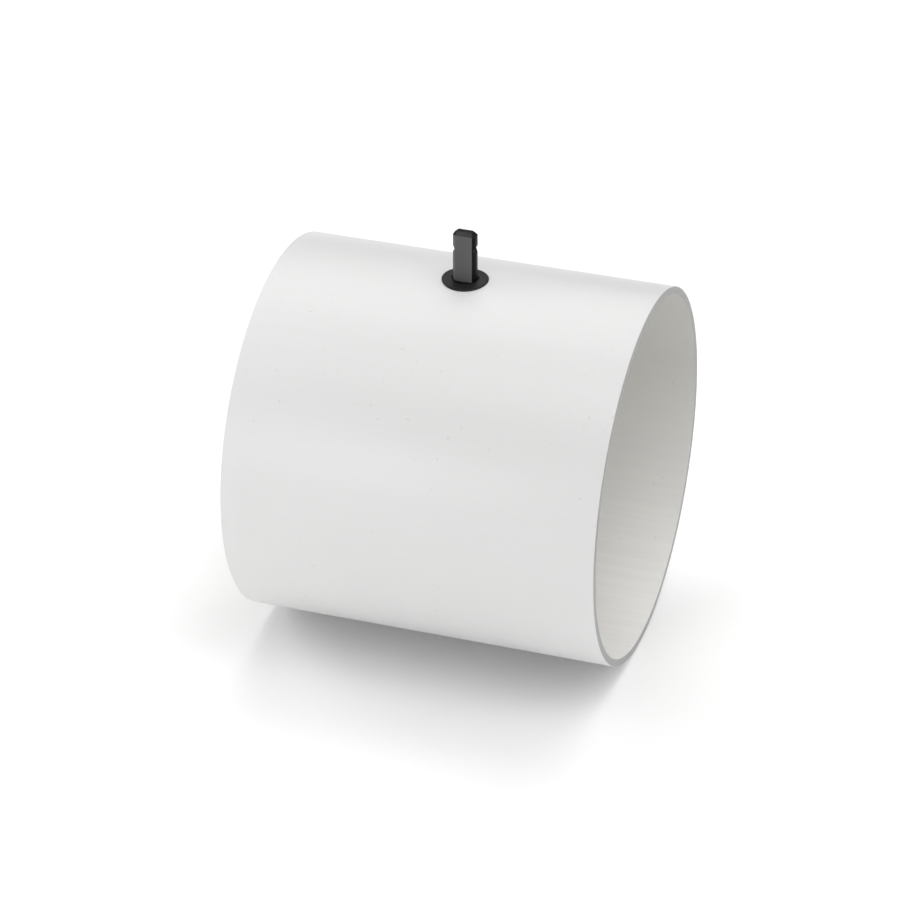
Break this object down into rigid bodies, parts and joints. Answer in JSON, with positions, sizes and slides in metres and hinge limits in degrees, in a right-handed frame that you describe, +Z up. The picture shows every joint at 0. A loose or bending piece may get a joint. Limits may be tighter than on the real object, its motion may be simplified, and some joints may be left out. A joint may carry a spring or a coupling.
{
  "type": "round duct damper",
  "caption": "In-line round duct damper: a plastic pipe section with a disc blade inside, turned between closed and open by a flat spindle through a bush in the wall.",
  "frame": {"origin": "crossing of the duct's axis and the spindle's axis, at the middle of the duct's length", "axes": "+X along the duct, +Z up the spindle towards its driven end, +Y completes a right-handed frame"},
  "size_m": [0.149, 0.15, 0.1721],
  "materials": {
    "white_pipe": "satin extruded plastic",
    "black_moulding": "satin moulded plastic",
    "charcoal_moulding": "satin glass-filled plastic",
    "blade_moulding": "fine-grained moulded plastic",
    "bearing_plastic": "natural low-friction plastic",
    "seal_rubber": "matt moulded rubber",
    "spring_steel": "phosphated spring steel",
    "zinc_steel": "zinc plated steel"
  },
  "bodies": {
    "duct": {"duct_tube": "white_pipe", "upper_bush": "black_moulding", "upper_saddle_washer": "seal_rubber", "upper_retaining_ring": "spring_steel", "lower_bush": "black_moulding", "lower_saddle_washer": "seal_rubber", "lower_retaining_ring": "spring_steel"},
    "blade": {"spindle": "charcoal_moulding", "spindle_o_ring": "seal_rubber", "thrust_washer": "bearing_plastic", "blade_front": "blade_moulding", "blade_rear": "blade_moulding", "left_blade_seal": "seal_rubber", "right_blade_seal": "seal_rubber", "blade_screws": "zinc_steel", "blade_washers": "zinc_steel", "blade_nuts": "zinc_steel", "spindle_screw": "zinc_steel", "spindle_nut": "zinc_steel"}
  },
  "joints": [
    {"name": "blade_turn", "type": "hinge", "parent": "duct", "child": "blade", "pos_m": [0, 0, 0], "axis": [0, 0, 1], "range_deg": [0, 90]}
  ]
}
